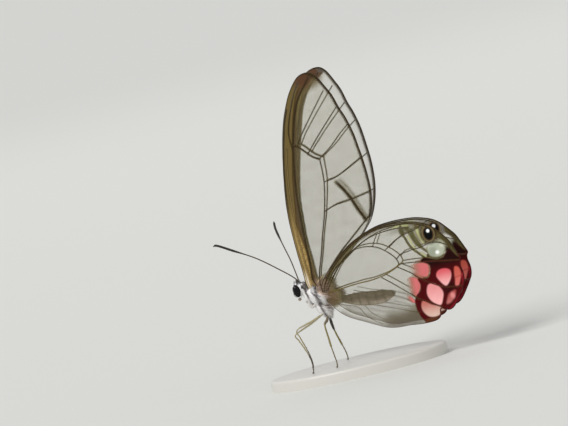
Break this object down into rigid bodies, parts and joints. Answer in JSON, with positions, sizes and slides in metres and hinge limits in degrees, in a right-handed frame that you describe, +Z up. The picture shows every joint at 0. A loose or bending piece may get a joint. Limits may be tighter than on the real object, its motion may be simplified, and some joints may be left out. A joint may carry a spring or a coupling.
{
  "type": "clear-winged pink butterfly",
  "caption": "Life-size clear-winged butterfly at rest with closed upright wings, dark veins, pink hindwing patch and eyespot, on a plain oval display base.",
  "frame": {"origin": "centre of the oval base's flat underside", "axes": "+Z up, head towards -X, tail towards +X, the insect's left side towards -Y"},
  "size_m": [0.0423, 0.02, 0.0535],
  "materials": {
    "wing": "thin clear membrane with a smoky olive tint, dark brown veins, pink and dark red patch on the hindwing",
    "body": "short white fuzz with slanting grey-purple stripes",
    "abdomen": "matt, grey-brown above and pale tan below",
    "eye": "glossy black",
    "limb": "matt olive brown",
    "base": "smooth off-white, softly rounded upper edge"
  },
  "bodies": {
    "root": {"stand_base": "base", "thorax": "body", "head": "body", "abdomen": "abdomen", "proboscis": "limb", "antenna_left": "limb", "antenna_right": "limb", "palp_left": "limb", "palp_right": "limb", "eye_left": "eye", "eye_right": "eye", "foreleg_left": "limb", "foreleg_right": "limb", "midleg_left": "limb", "midleg_right": "limb", "hindleg_left": "limb", "hindleg_right": "limb", "forewing_left": "wing", "forewing_right": "wing", "hindwing_left": "wing", "hindwing_right": "wing"}
  },
  "joints": []
}
